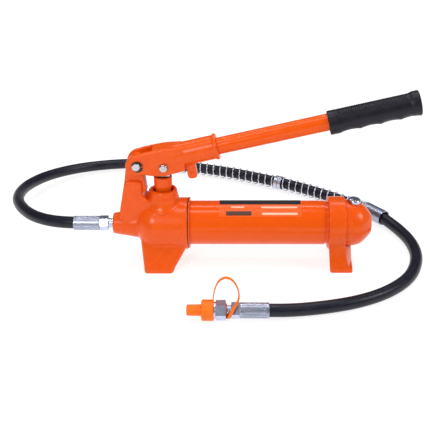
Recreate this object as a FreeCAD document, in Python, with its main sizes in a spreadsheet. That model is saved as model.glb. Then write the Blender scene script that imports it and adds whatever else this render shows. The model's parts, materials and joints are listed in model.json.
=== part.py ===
import FreeCAD, Part
import math
import os

import Sketcher

# Hydraulic hand pump with a hose and a capped quick coupler. Millimetres.
# +X runs along the reservoir from the hose end to the domed end, +Z is up, and +Y is the side
# with the release valve. The origin is on the floor, under the plunger's axis.

Vector = FreeCAD.Vector
Rotation = FreeCAD.Rotation
Placement = FreeCAD.Placement

X_AXIS = Vector(1, 0, 0)
Y_AXIS = Vector(0, 1, 0)
Z_AXIS = Vector(0, 0, 1)

DIMENSIONS = [
    ("axis_height", 57.5, "height of the reservoir's axis above the floor"),
    ("head_radius", 35.5, "outer radius of the pump head's barrel"),
    ("barrel_height", 56.5, "height of the pump head's barrel above the floor"),
    ("head_end", 32.8, "X of the pump head's reservoir end"),
    ("head_face", 24.0, "X of the floor of the reservoir seat"),
    ("head_left", 36.0, "distance from the plunger's axis to the head's rounded end"),
    ("tube_radius", 30.0, "outer radius of the reservoir tube"),
    ("tube_wall", 2.5, "wall of the reservoir tube"),
    ("tube_start", 26.0, "X of the tube's end in the head"),
    ("tube_end", 216.0, "X of the tube's end on the end cap"),
    ("cap_radius", 31.5, "radius of the domed end cap"),
    ("dome_centre", 252.0, "X of the centre of the dome"),
    ("dome_flat", 279.2, "X of the flat on the dome"),
    ("strap_start", 221.0, "X of the rear foot's ring"),
    ("strap_width", 22.6, "width of the rear foot's ring"),
    ("strap_radius", 35.5, "outer radius of the rear foot's ring"),
    ("bolt_radius", 5.0, "radius of the tie bolt"),
    ("port_height", 56.5, "height of the outlet port"),
    ("port_reach", 70.5, "distance from the plunger's axis to the port's face"),
    ("passage", 2.2, "radius of the oil passages"),
    ("valve_seat", 46.0, "distance of the discharge seat from the plunger's axis"),
    ("ball", 3.5, "radius of the check balls"),
    ("suction_height", 44.0, "height of the suction valve"),
    ("release_x", 16.0, "distance of the release valve behind the plunger's axis"),
    ("release_height", 80.0, "height of the release valve"),
    ("ram_radius", 8.0, "radius of the plunger rod"),
    ("gland_radius", 13.85, "radius of the gland's counterbore"),
    ("boss_radius", 18.3, "outer radius of the plunger boss's rim"),
    ("boss_top", 109.0, "height of the plunger boss's rim"),
    ("pivot_x", 33.0, "distance of the rocker's pivot behind the plunger's axis"),
    ("pivot_height", 146.7, "height of the rocker's pivot"),
    ("pivot_radius", 5.5, "radius of the pivot pin"),
    ("link_x", 2.8, "X of the plunger pin"),
    ("link_height", 144.8, "height of the plunger pin"),
    ("link_radius", 5.0, "radius of the plunger pin"),
    ("rocker_width", 30.0, "width of the rocker over its cheeks"),
    ("fork_gap", 18.4, "gap between the rocker's cheeks"),
    ("lug_width", 17.6, "width of the column's lug in the fork"),
    ("eye_width", 16.0, "width of the plunger's eye"),
    ("handle_tilt", 13.0, "the handle's angle above level"),
    ("handle_rise", 152.5, "height of the handle's axis over the plunger's axis"),
    ("handle_radius", 11.2, "radius of the handle tube"),
    ("socket_radius", 16.0, "outer radius of the rocker's socket"),
    ("collar_radius", 17.4, "radius of the collar at the socket's mouth"),
    ("grip_radius", 15.1, "outer radius of the grip"),
    ("running_gap", 0.05, "radial clearance of a running fit"),
    ("hose_radius", 8.4, "outer radius of the hose"),
    ("ferrule_radius", 9.8, "outer radius of the hose's ferrules"),
    ("coupler_side", 148.0, "distance of the coupler's axis in front of the pump"),
    ("coupler_height", 13.2, "height of the coupler's axis"),
    ("spring_radius", 11.8, "outer radius of the hose's guard springs"),
    ("spring_wire", 1.8, "wire of the hose's guard springs"),
]

# The hose's route, from inside its first ferrule to inside its last.
HOSE_ROUTE = [
    (-96, 0, 56.5),
    (-125.4, 0, 56.5),
    (-164, 12, 53.5),
    (-199, 41, 49.3),
    (-228, 91, 43),
    (-239.4, 139.5, 35),
    (-237, 188.5, 28),
    (-217.3, 236.5, 22),
    (-185, 275, 16),
    (-148, 298, 12.6),
    (-99, 309, 12.2),
    (-35, 307.5, 12.4),
    (30, 289, 12.6),
    (89, 268.5, 12.6),
    (144, 241, 12.6),
    (190, 216, 12.4),
    (234, 184.5, 12.3),
    (270, 154.5, 12.2),
    (296, 130, 12.2),
    (316, 104, 11.8),
    (333, 76.5, 8.6),
    (344, 43, 8.4),
    (347, 13, 8.4),
    (344.3, -15.5, 8.4),
    (332.7, -49.8, 8.4),
    (314.4, -77, 8.4),
    (285.2, -102.8, 8.4),
    (250, -121.2, 8.4),
    (217, -131.4, 8.4),
    (185, -138, 8.4),
    (160, -144.6, 11),
    (138.4, -148, 13.2),
    (119.5, -148, 13.2),
]

# The guard springs, as stretches of the route: each starts and ends at a share of a run.
LEFT_SPRING = ((10, 0.5), (15, 0.5))
RIGHT_SPRING = ((14, 0.53), (18, 0.14))

os.makedirs("parts", exist_ok=True)
doc = FreeCAD.newDocument("hand_pump")
sheet = doc.addObject("Spreadsheet::Sheet", "dims")
nodes = []


class Size:
    """A length and the spreadsheet expression that it comes from."""

    def __init__(self, value, text):
        self.value = float(value)
        self.text = text

    def joined(self, other, sign, value):
        return Size(value, f"({self.text} {sign} {expression(other)})")

    def __add__(self, other):
        return self.joined(other, "+", self.value + number(other))

    def __sub__(self, other):
        return self.joined(other, "-", self.value - number(other))

    def __mul__(self, other):
        return self.joined(other, "*", self.value * number(other))

    def __truediv__(self, other):
        return self.joined(other, "/", self.value / number(other))

    def __neg__(self):
        return Size(-self.value, f"(0 - {self.text})")


def number(size):
    return size.value if isinstance(size, Size) else float(size)


def expression(size):
    return size.text if isinstance(size, Size) else repr(float(size))


def fill_sheet():
    """Writes the driving dimensions and returns them by name."""
    sizes = {}
    for row, (alias, value, meaning) in enumerate(DIMENSIONS, 1):
        sheet.set(f"A{row}", meaning)
        sheet.set(f"B{row}", str(value))
        sheet.setAlias(f"B{row}", alias)
        sizes[alias] = Size(value, f"dims.{alias}")
    doc.recompute()
    return sizes


D = fill_sheet()


def bind(thing, prop, size):
    """Sets a property, and ties it to the sheet when its size comes from there."""
    if isinstance(size, Size):
        thing.setExpression(prop, size.text)
    else:
        setattr(thing, prop, size)


def keep(label, thing):
    """Names a finished sub-part."""
    thing.Label = label
    nodes.append(thing)
    return thing


def place(thing, at=(0, 0, 0), along=Z_AXIS, turn=0):
    """Moves a piece made along Z so that it starts at a point and runs along a direction."""
    rotation = Rotation(Z_AXIS, Vector(along)).multiply(Rotation(Z_AXIS, turn))
    thing.Placement = Placement(Vector(*[number(c) for c in at]), rotation)
    for axis, size in zip("xyz", at):
        if isinstance(size, Size):
            thing.setExpression(f"Placement.Base.{axis}", size.text)
    return thing


# ---- sketches -------------------------------------------------------------------------------


def arc_between(start, end, radius):
    """An arc from one corner to the next: a plus radius bends it left of the way there."""
    chord = end - start
    half = chord.Length / 2
    normal = Vector(-chord.y, chord.x, 0).normalize()
    side = 1 if radius > 0 else -1
    depth = math.sqrt(max(radius * radius - half * half, 0))
    centre = (start + end) * 0.5 + normal * (side * depth)
    first, last = (start, end) if side > 0 else (end, start)
    a = math.atan2(first.y - centre.y, first.x - centre.x)
    b = math.atan2(last.y - centre.y, last.x - centre.x)
    circle = Part.Circle(centre, Z_AXIS, abs(radius))
    return Part.ArcOfCircle(circle, a, b if b > a else b + 2 * math.pi)


def draw(sketch, points):
    """Draws a closed outline and ties every corner to the sheet.

    A point is (x, y), or (x, y, radius) where an arc arrives at it.
    """
    corners = [Vector(number(p[0]), number(p[1]), 0) for p in points]
    start_end = []
    for i, point in enumerate(points):
        if len(point) == 3:
            radius = number(point[2])
            sketch.addGeometry(arc_between(corners[i - 1], corners[i], radius))
            start_end.append((1, 2) if radius > 0 else (2, 1))
        else:
            sketch.addGeometry(Part.LineSegment(corners[i - 1], corners[i]))
            start_end.append((1, 2))
    for i in range(len(points)):
        follower = (i + 1) % len(points)
        joint = Sketcher.Constraint("Coincident", i, start_end[i][1], follower, start_end[follower][0])
        sketch.addConstraint(joint)
    for i, point in enumerate(points):
        for kind, size in zip(("DistanceX", "DistanceY"), point):
            tie = Sketcher.Constraint(kind, -1, 1, i, start_end[i][1], number(size))
            set_tie(sketch, sketch.addConstraint(tie), size)
        if len(point) == 3:
            radius = point[2] if number(point[2]) > 0 else -number(point[2])
            tie = Sketcher.Constraint("Radius", i, number(radius))
            set_tie(sketch, sketch.addConstraint(tie), radius)


def set_tie(sketch, index, size):
    if isinstance(size, Size):
        sketch.setExpression(f"Constraints[{index}]", size.text)


def new_body(name, plane, points):
    """A body with one sketch on the plane of its own origin that plays the given role."""
    body = doc.addObject("PartDesign::Body", name)
    sketch = body.newObject("Sketcher::SketchObject", f"{name}_outline")
    role = next(f for f in body.Origin.OriginFeatures if f.Role == plane)
    sketch.AttachmentSupport = [(role, "")]
    sketch.MapMode = "FlatFace"
    draw(sketch, points)
    return body, sketch


def turned(name, profile, at=(0, 0, 0), along=Z_AXIS):
    """A lathe piece: the profile holds (radius, distance along the axis) corners."""
    body, sketch = new_body(name, "XZ_Plane", profile)
    spin = body.newObject("PartDesign::Revolution", f"{name}_turned")
    spin.Profile = sketch
    spin.ReferenceAxis = (sketch, ["V_Axis"])
    spin.Angle = 360
    body.Tip = spin
    return place(body, at, along)


def plate(name, outline, thickness, at=(0, 0, 0)):
    """A plate across Y: the outline holds (X, Z) corners, and Y = 0 is its middle."""
    body, sketch = new_body(name, "XZ_Plane", outline)
    pad = body.newObject("PartDesign::Pad", f"{name}_pad")
    pad.Profile = sketch
    pad.SideType = "Symmetric"
    bind(pad, "Length", thickness)
    body.Tip = pad
    return place(body, at)


# ---- primitives and booleans ----------------------------------------------------------------


def rod(name, radius, length, at=(0, 0, 0), along=Z_AXIS):
    cylinder = doc.addObject("Part::Cylinder", name)
    bind(cylinder, "Radius", radius)
    bind(cylinder, "Height", length)
    return place(cylinder, at, along)


def hexagon(name, circumradius, length, at, along, turn=0):
    prism = doc.addObject("Part::Prism", name)
    prism.Polygon = 6
    bind(prism, "Circumradius", circumradius)
    bind(prism, "Height", length)
    return place(prism, at, along, turn)


def block(name, size, at):
    box = doc.addObject("Part::Box", name)
    for prop, length in zip(("Length", "Width", "Height"), size):
        bind(box, prop, length)
    return place(box, at)


def ring(name, outer, inner, length, at=(0, 0, 0), along=Z_AXIS):
    """A plain tube or washer."""
    return turned(name, [(inner, 0), (outer, 0), (outer, length), (inner, length)], at, along)


def fused(name, shapes):
    union = doc.addObject("Part::MultiFuse", name)
    union.Shapes = shapes
    return union


def cut(name, base, tools):
    """The base without the tools, one after another. Each has to take something away."""
    for tool in tools:
        difference = doc.addObject("Part::Cut", f"{name}_{tool.Name}")
        difference.Base = base
        difference.Tool = tool
        doc.recompute()
        if difference.Shape.isNull() or difference.Shape.Volume >= base.Shape.Volume - 1e-3:
            raise RuntimeError(f"{tool.Name} took nothing away from {name}")
        base = difference
    return base


def common(name, shapes):
    overlap = doc.addObject("Part::MultiCommon", name)
    overlap.Shapes = shapes
    return overlap


def rounded(name, base, radius, picks):
    """Rounds the edges that the picking function chooses."""
    doc.recompute()
    edges = base.Shape.Edges
    chosen = [(i, radius, radius) for i, edge in enumerate(edges, 1) if picks(edge)]
    fillet = doc.addObject("Part::Fillet", name)
    fillet.Base = base
    fillet.Edges = chosen
    return fillet


def loft(name, sections):
    """A straight-sided loft through level outlines: each section is (Z, [(X, Y), ...])."""
    sketches = []
    for i, (height, outline) in enumerate(sections):
        sketch = doc.addObject("Sketcher::SketchObject", f"{name}_level{i}")
        draw(sketch, outline)
        sketches.append(place(sketch, (0, 0, height)))
    skin = doc.addObject("Part::Loft", name)
    skin.Sections = sketches
    skin.Solid = True
    skin.Ruled = True
    return skin


def on_handle(distance):
    """The point at a distance along the handle's axis from over the plunger."""
    tilt = math.radians(D["handle_tilt"].value)
    rise = D["handle_rise"] + distance * math.sin(tilt)
    return (distance * math.cos(tilt), 0, rise)


def handle_direction():
    tilt = math.radians(D["handle_tilt"].value)
    return Vector(math.cos(tilt), 0, math.sin(tilt))


# ---- pump head ------------------------------------------------------------------------------


def foot_block(name, levels):
    """A tapered foot: each level is (Z, left X, right X, half depth)."""
    sections = []
    for height, left, right, half in levels:
        corners = [(left, -half), (right, -half), (right, half), (left, half)]
        sections.append((height, corners))
    return loft(name, sections)


def head_solids():
    """The outside of the casting: barrel, port, plunger boss, column, foot and valve boss."""
    axis = D["axis_height"]
    end = D["head_end"]
    round_end = 27
    barrel = turned(
        "head_barrel",
        [
            (0, -D["head_left"]),
            (17, -D["head_left"]),
            (D["head_radius"], -11, round_end),
            (D["head_radius"], end - 2),
            (D["head_radius"] - 2, end, 2),
            (0, end),
        ],
        (0, 0, D["barrel_height"]),
        X_AXIS,
    )
    port = turned(
        "head_port",
        [
            (0, 0),
            (12.8, 0),
            (14.3, 1.5, 1.5),
            (21.6, 46),
            (0, 46),
        ],
        (-D["port_reach"], 0, D["port_height"]),
        X_AXIS,
    )
    boss = turned(
        "head_boss",
        [
            (0, 70),
            (27.5, 83),
            (20.4, 97, -20),
            (D["boss_radius"] + 0.4, D["boss_top"] - 5),
            (D["boss_radius"], D["boss_top"] - 2.4),
            (D["boss_radius"] - 2.4, D["boss_top"], 2.4),
            (0, D["boss_top"]),
        ],
    )
    column = rounded("head_column", plate("head_column_block", column_outline(), 30), 3, upright_edge)
    lug = plate(
        "head_lug",
        [
            (-52, 112),
            (-21.6, 108),
            (-24.8, 132),
            (-D["pivot_x"] + 12, D["pivot_height"]),
            (-D["pivot_x"], D["pivot_height"] + 12, 12),
            (-D["pivot_x"] - 12, D["pivot_height"], 12),
            (-48.3, 139),
            (-51.2, 120),
        ],
        D["lug_width"],
    )
    levels = [(0, -27.2, 12.3, 41), (5, -27.6, 14, 40.4), (36.5, -31, 32.7, 28.9), (43, -31.4, 32.7, 26.5)]
    foot = foot_block("head_foot_block", levels)
    foot = rounded("head_foot", foot, 5, steep_edge)
    valve_boss = turned(
        "head_valve_boss",
        [(0, 0), (13, 0), (11.5, 34), (10, 35.5, 1.5), (0, 35.5)],
        (-D["release_x"], 0, D["release_height"]),
        Y_AXIS,
    )
    return [barrel, port, boss, column, lug, foot, valve_boss]


def column_outline():
    """The column's side view, with the sloping web between it and the plunger boss."""
    return [
        (-61, 70),
        (-30, 56),
        (-10, 62),
        (-10, 92),
        (-19, 97),
        (-27.5, 108, -14),
        (-27.5, 119.5),
        (-32.5, 124.5, 5),
        (-45, 124.5),
        (-51.2, 119.5, 6),
        (-58.6, 83),
    ]


def steep_edge(edge):
    """True for the edges that climb from the floor to the barrel."""
    direction = edge.lastVertex().Point - edge.firstVertex().Point
    return abs(direction.z) > 3


def upright_edge(edge):
    """True for the column's long corners on its two broad faces."""
    ends = [edge.firstVertex().Point, edge.lastVertex().Point]
    return all(abs(abs(p.y) - 15) < 0.01 for p in ends) and min(p.z for p in ends) > 82


def head_bores():
    """Everything that is drilled, bored or sunk into the casting."""
    axis = D["axis_height"]
    port = D["port_height"]
    back = -Y_AXIS
    release = -D["release_x"]
    high = D["release_height"]
    sink = 40
    bores = [
        rod("seat_bore", D["tube_radius"] + 0.02, sink, (D["head_face"], 0, axis), X_AXIS),
        rod("bolt_bore", D["bolt_radius"] + 0.02, 30, (12, 0, axis), X_AXIS),
        rod("ram_bore", D["ram_radius"] + D["running_gap"], 46, (0, 0, 50)),
        rod("gland_bore", D["gland_radius"], sink, (0, 0, 80)),
        rod("pivot_bore", D["pivot_radius"], sink, (-D["pivot_x"], sink / 2, D["pivot_height"]), back),
        rod("nipple_bore", 6.7, 15, (-72, 0, port), X_AXIS),
        rod("spring_bore", 4.2, 12, (-58, 0, port), X_AXIS),
        rod("pressure_passage", D["passage"], 46, (-D["valve_seat"] - 1, 0, port), X_AXIS),
        rod("down_passage", D["passage"], 26, (0, 0, D["suction_height"] - 2)),
        rod("suction_entry", D["passage"], 8, (-1, 0, D["suction_height"]), X_AXIS),
        rod("suction_bore", 4.5, 11, (5, 0, D["suction_height"]), X_AXIS),
        rod("suction_seat_bore", 6, 12, (15, 0, D["suction_height"]), X_AXIS),
        rod("release_riser", 1.5, high - port, (release, 0, port)),
        rod("release_seat_bore", 1.5, 10, (release, -1, high), Y_AXIS),
        rod("release_bore", 4.05, 40, (release, 8, high), Y_AXIS),
        rod("release_return", 1.5, 42, (release, 18, high), X_AXIS),
        plate("near_panel", panel_outline(), 1.2, (0, -15, 0)),
        plate("far_panel", panel_outline(), 1.2, (0, 15, 0)),
    ]
    return bores


def panel_outline():
    """The shallow recess on each broad face of the column."""
    return [(-50.5, 84), (-31, 84), (-31.5, 118), (-46.5, 118)]


def build_head():
    casting = fused("head_casting", head_solids())
    keep("pump_head", cut("pump_head_bored", casting, head_bores()))


# ---- reservoir ------------------------------------------------------------------------------


def build_reservoir():
    axis = D["axis_height"]
    inner = D["tube_radius"] - D["tube_wall"]
    length = D["tube_end"] - D["tube_start"]
    keep(
        "reservoir_tube",
        ring("tube", D["tube_radius"], inner, length, (D["tube_start"], 0, axis), X_AXIS),
    )
    gasket_length = D["tube_start"] - D["head_face"]
    keep(
        "reservoir_gasket",
        ring("gasket", D["tube_radius"] - 0.1, inner, gasket_length, (D["head_face"], 0, axis), X_AXIS),
    )
    seal_start = D["head_end"] + 0.02
    seal_length = 0.7
    bore = D["tube_radius"] + 0.02
    keep("reservoir_seal", ring("mouth_seal", 34.8, bore, seal_length, (seal_start, 0, axis), X_AXIS))
    flange_start = seal_start + seal_length
    flange = turned(
        "flange_ring",
        [(bore, 0), (35, 0), (35, 0.8), (34.2, 1.5, 0.8), (bore, 1.5)],
        (flange_start, 0, axis),
        X_AXIS,
    )
    keep("reservoir_flange", flange)
    build_end_cap(inner)
    build_tie_bolt()
    build_filler()
    build_rear_foot()
    build_label()


def build_end_cap(inner):
    """A domed cap: a spigot in the tube, a short neck, and a dome with a flat at its end."""
    spigot = inner - 0.05
    inside = 27.0
    dome = turned(
        "cap_dome",
        [
            (spigot - 4, 204),
            (spigot, 204),
            (spigot, D["tube_end"] + 0.2),
            (D["tube_radius"] - 1.2, D["tube_end"] + 0.2),
            (D["tube_radius"] - 1.2, D["strap_start"] - 0.4),
            (D["cap_radius"], D["strap_start"] - 0.4),
            (D["cap_radius"], D["dome_centre"]),
            (28.2, D["dome_centre"] + 13.1, 31),
            (13.8, D["dome_flat"], 60),
            (0, D["dome_flat"]),
            (0, D["dome_centre"] + 17),
            (inside - 6, D["dome_centre"] + 12, -26),
            (spigot - 4, D["dome_centre"] - 6, -30),
        ],
        (0, 0, D["axis_height"]),
        X_AXIS,
    )
    pad = rod("filler_pad", 10, 11, on_dome(20), filler_direction())
    groove = ring("cap_groove", spigot + 2, spigot - 1.9, 2.4, (208, 0, D["axis_height"]), X_AXIS)
    cuts = [
        groove,
        rod("cap_bolt_bore", D["bolt_radius"] + 0.1, 60, (230, 0, D["axis_height"]), X_AXIS),
        rod("cap_bolt_recess", 9.2, 20, (272.2, 0, D["axis_height"]), X_AXIS),
        rod("filler_bore", 5.55, 30, on_dome(14), filler_direction()),
        rod("filler_face", 9.2, 12, on_dome(30.6), filler_direction()),
        ring("filler_groove", 8.2, 5.4, 3, on_dome(29.4), filler_direction()),
    ]
    keep("end_cap", cut("end_cap_bored", fused("cap_casting", [dome, pad]), cuts))
    seal = doc.addObject("Part::Torus", "cap_seal")
    seal.Radius1 = number(spigot) - 0.92
    seal.Radius2 = 0.95
    keep("end_cap_oring", place(seal, (209.2, 0, D["axis_height"]), X_AXIS))


def filler_direction():
    """The filler stands square on the dome, a little towards its end."""
    lean = math.radians(7)
    return Vector(math.sin(lean), 0, math.cos(lean))


def on_dome(distance):
    """The point at a distance from the dome's centre, along the filler's axis."""
    offset = filler_direction() * distance
    return (D["dome_centre"] + offset.x, 0, D["axis_height"] + offset.z)


def build_filler():
    """A slotted pan-head screw with an O-ring under it."""
    body = turned(
        "filler_blank",
        [(0, 0), (5.3, 0), (5.3, 14), (8.5, 14), (8.7, 14.2, 0.2), (8.7, 17), (6.4, 19.4, 4.2), (0, 19.4)],
        on_dome(17),
        filler_direction(),
    )
    slot = plate("filler_slot", [(-10, 0), (10, 0), (10, 4), (-10, 4)], 1.8)
    slot = place(slot, on_dome(33.6), filler_direction())
    keep("filler_screw", cut("filler_screw_slotted", body, [slot]))
    seal = doc.addObject("Part::Torus", "filler_seal")
    seal.Radius1 = 6.75
    seal.Radius2 = 0.75
    keep("filler_oring", place(seal, on_dome(30.2), filler_direction()))


def build_tie_bolt():
    """The long socket-head bolt that clamps the reservoir between the head and the cap."""
    shaft = rod("bolt_shaft", D["bolt_radius"], 259.7, (14, 0, D["axis_height"]), X_AXIS)
    head = rod("bolt_head", 8.2, 5.2, (273.7, 0, D["axis_height"]), X_AXIS)
    socket = hexagon("bolt_socket", 4.6, 4, (275.7, 0, D["axis_height"]), X_AXIS)
    keep("tie_bolt", cut("tie_bolt_made", fused("bolt_blank", [shaft, head]), [socket]))
    keep(
        "tie_bolt_washer",
        ring("washer", 8.8, D["bolt_radius"] + 0.1, 1.5, (272.2, 0, D["axis_height"]), X_AXIS),
    )


def build_rear_foot():
    """A ring round the end cap with a waisted foot under it, on a flat base."""
    start = (D["strap_start"], 0, D["axis_height"])
    band = ring("strap_band", D["strap_radius"], D["cap_radius"] - 3, D["strap_width"], start, X_AXIS)
    web = loft(
        "rear_web",
        [
            (6, waisted_outline(223.7, 249.5, 256.2, 37)),
            (38, waisted_outline(221.6, 239.5, 252.8, 29)),
        ],
    )
    base = loft(
        "rear_base",
        [
            (0, waisted_outline(224, 254.7, 256.6, 38)),
            (6, waisted_outline(223.7, 254.3, 256.2, 37.4)),
        ],
    )
    foot = fused("rear_foot_casting", [band, web, rounded("rear_base_round", base, 3, steep_edge)])
    hole = rod("strap_bore", D["cap_radius"] + 0.02, 80, (200, 0, D["axis_height"]), X_AXIS)
    keep("rear_foot", cut("rear_foot_bored", foot, [hole]))


def waisted_outline(left, right, reach, half):
    """A foot section: its right side comes to a blunt point, and its left side narrows to the back."""
    point = 9
    back_left = left + 6
    front = [(left, -half), (right, -half), (reach, -point)]
    return front + [(reach, point), (right, half), (back_left, half)]


def build_label():
    """A thin wrap-round label over the top of the tube."""
    sleeve = ring(
        "label_sleeve",
        D["tube_radius"] + 0.35,
        D["tube_radius"] + 0.02,
        111,
        (74, 0, D["axis_height"]),
        X_AXIS,
    )
    top = block("label_window", (130, 45.4, 40), (65, -22.7, D["axis_height"] + 20))
    keep("reservoir_label", common("label_wrap", [sleeve, top]))


# ---- plunger and its gland --------------------------------------------------------------------


def build_plunger():
    rod_radius = D["ram_radius"]
    body = turned(
        "plunger_rod",
        [(0, 60), (rod_radius - 1, 60), (rod_radius, 61), (rod_radius, 132), (0, 132)],
    )
    eye_x = D["link_x"] - 1.8
    eye = plate(
        "plunger_eye",
        [
            (eye_x + 9, 130),
            (eye_x + 9, D["link_height"]),
            (eye_x, D["link_height"] + 9, 9),
            (eye_x - 9, D["link_height"], 9),
            (eye_x - 9, 130),
        ],
        D["eye_width"],
    )
    reach = 7.9
    slot = plate(
        "plunger_slot",
        [
            (eye_x - reach + 3, D["link_height"] - 5.7, 3),
            (eye_x + reach - 3, D["link_height"] - 5.7),
            (eye_x + reach, D["link_height"] - 2.7, 3),
            (eye_x + reach, D["link_height"] + 2.7),
            (eye_x + reach - 3, D["link_height"] + 5.7, 3),
            (eye_x - reach + 3, D["link_height"] + 5.7),
            (eye_x - reach, D["link_height"] + 2.7, 3),
            (eye_x - reach, D["link_height"] - 2.7),
        ],
        40,
    )
    keep("plunger", cut("plunger_made", fused("plunger_blank", [body, eye]), [slot]))
    collar = turned(
        "collar_blank",
        [
            (rod_radius + 0.02, 103),
            (9.7, 103),
            (10.4, 104, 1),
            (10.4, 108.5),
            (12.2, 115),
            (12.2, 126.2),
            (10.9, 127.5, 1.3),
            (rod_radius + 0.02, 127.5),
        ],
    )
    keep("plunger_collar", collar)
    keep("collar_clip", ring("collar_ring", 9.1, rod_radius + 0.02, 1.6, (0, 0, 127.7)))
    inner = rod_radius + D["running_gap"]
    outer = D["gland_radius"] - 0.05
    keep("plunger_seal", ring("seal_cup", outer, inner, 4, (0, 0, 80.1)))
    keep("seal_backup", ring("backup_ring", outer, inner, 2, (0, 0, 84.1)))
    keep("gland_nut", ring("gland", outer, inner, 5, (0, 0, 86.1)))
    keep("plunger_wiper", ring("wiper", 11.2, inner, 1.2, (0, 0, 91.1)))


# ---- rocker, pins and handle ------------------------------------------------------------------


def rocker_outline():
    """The side view of the cheeks, from their left end round to the socket and back."""
    pivot_x = -D["pivot_x"]
    pivot_z = D["pivot_height"]
    return [
        (-26.5, 134.6, 22),
        (-17, 133),
        (-4, 131.9),
        (5, 132.4),
        (12, 134.8),
        (30.9, 139.8),
        (30.2, 150),
        (27, 168.5),
        (25.3, 171.7),
        (12, 170.9),
        (2.5, 170.1),
        (-10, 167.7),
        (-21.3, 165.3),
        (-32.5, 161.9),
        (pivot_x - 14.6, pivot_z + 0.5, 18),
        (pivot_x - 7.2, pivot_z - 13.0, 15),
    ]


def build_rocker():
    width = D["rocker_width"]
    gap = D["fork_gap"]
    cheeks = rounded("rocker_cheeks", plate("rocker_blank", rocker_outline(), width), 2.5, cheek_edge)
    socket = turned(
        "rocker_socket",
        [
            (0, 8),
            (D["socket_radius"], 8),
            (D["socket_radius"], 70),
            (D["collar_radius"] - 1, 71, -1),
            (D["collar_radius"], 72, 1),
            (D["collar_radius"], 74),
            (D["collar_radius"] - 1.5, 75.5, 1.5),
            (0, 75.5),
        ],
        on_handle(0),
        handle_direction(),
    )
    lug = plate("rocker_lug", lug_outline(), 12)
    swing = 13.4
    below = 118
    fork_slot = block("fork_slot", (43, gap, 60), (-55, -gap / 2, below))
    eye_slot = block("eye_slot", (D["link_x"] + swing + 12.5, gap, 32), (-12.5, -gap / 2, below))
    eye_swing = rod("eye_swing", swing, gap, (D["link_x"], -gap / 2, D["link_height"]), Y_AXIS)
    across = 60
    pivot_at = (-D["pivot_x"], -across / 2, D["pivot_height"])
    link_at = (D["link_x"], -across / 2, D["link_height"])
    pivot = rod("rocker_pivot_bore", D["pivot_radius"] + D["running_gap"], across, pivot_at, Y_AXIS)
    link = rod("rocker_link_bore", D["link_radius"], across, link_at, Y_AXIS)
    bore = rod("socket_bore", D["handle_radius"] + D["running_gap"], 60, on_handle(34), handle_direction())
    dimple = rod("lug_dimple", 2.2, 3, (39, -7.5, 134), Y_AXIS)
    blank = fused("rocker_casting", [cheeks, socket, lug])
    keep("rocker", cut("rocker_made", blank, [fork_slot, eye_slot, eye_swing, pivot, link, bore, dimple]))


def cheek_edge(edge):
    """True for the outer edges of the cheeks, away from the socket."""
    ends = [edge.firstVertex().Point, edge.lastVertex().Point]
    return all(abs(abs(p.y) - 15) < 0.01 for p in ends) and min(p.x for p in ends) < 24


def lug_outline():
    """The hanging lug under the socket, square to the handle."""
    return [(30, 152), (33.9, 129.4), (38.1, 125.4, 4.2), (42.6, 126.1), (46.1, 130.6, 4.2), (42.8, 152)]


def build_pins():
    """The two hinge pins, each with a head at one end and an off-centre clip at the other."""
    clip_wide = 1.85
    clip_shift = 1.65
    for name, x, z, radius, head, clip_side in [
        ("pivot", -D["pivot_x"], D["pivot_height"], D["pivot_radius"], D["pivot_radius"] + 2.6, -1),
        ("plunger", D["link_x"], D["link_height"], D["link_radius"], D["link_radius"] + 0.4, 1),
    ]:
        pin = turned(
            f"{name}_pin_blank",
            [
                (0, -18.4),
                (radius - 0.8, -18.4),
                (radius, -17.6),
                (radius, 15.3),
                (head, 15.3),
                (head, 17.2),
                (head - 1.4, 18.6, 1.6),
                (0, 18.6),
            ],
            (x, 0, z),
            Y_AXIS * -clip_side,
        )
        clip_y = 16 * clip_side
        groove = ring(f"{name}_pin_groove", radius + 1, radius - 0.9, 1.2, (x, clip_y - 0.6, z), Y_AXIS)
        keep(f"{name}_pin", cut(f"{name}_pin_made", pin, [groove]))
        disc_at = (x + clip_shift, clip_y - 0.5, z)
        disc = rod(f"{name}_clip_disc", radius + clip_wide, 1.0, disc_at, Y_AXIS)
        hole = rod(f"{name}_clip_hole", radius - 0.85, 4, (x, clip_y - 2, z), Y_AXIS)
        mouth = block(f"{name}_clip_mouth", (20, 4, 2.4), (x, clip_y - 2, z - 1.2))
        keep(f"{name}_clip", cut(f"{name}_clip_made", disc, [hole, mouth]))


def build_handle():
    start = 36
    tube_end = 334.6
    radius = D["handle_radius"]
    grip_radius = D["grip_radius"]
    pipe = ring("handle_pipe", radius, radius - 2, tube_end - start, on_handle(start), handle_direction())
    keep("handle_tube", pipe)
    grip_start = on_handle(221)
    length = 117
    wall = 3.2
    tilt = math.radians(D["handle_tilt"].value)
    drop = 0.95
    lowered = (grip_start[0] + drop * math.sin(tilt), 0, grip_start[2] - drop * math.cos(tilt))
    grip = turned(
        "grip_blank",
        [
            (0, 0),
            (grip_radius + 0.6, 0),
            (grip_radius + 0.6, 3),
            (grip_radius, 5),
            (grip_radius, length - 9),
            (grip_radius + 1, length - 4.6),
            (grip_radius + 1, length - 1.6),
            (grip_radius - 0.4, length, 1.7),
            (0, length),
        ],
        lowered,
        handle_direction(),
    )
    bore = rod("grip_bore", radius + 0.02, length - wall, grip_start, handle_direction())
    keep("handle_grip", cut("grip_made", grip, [bore]))


# ---- valves -----------------------------------------------------------------------------------


def check_ball(name, x, z):
    ball = doc.addObject("Part::Sphere", name)
    bind(ball, "Radius", D["ball"])
    return keep(name, place(ball, (x, 0, z)))


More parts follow.
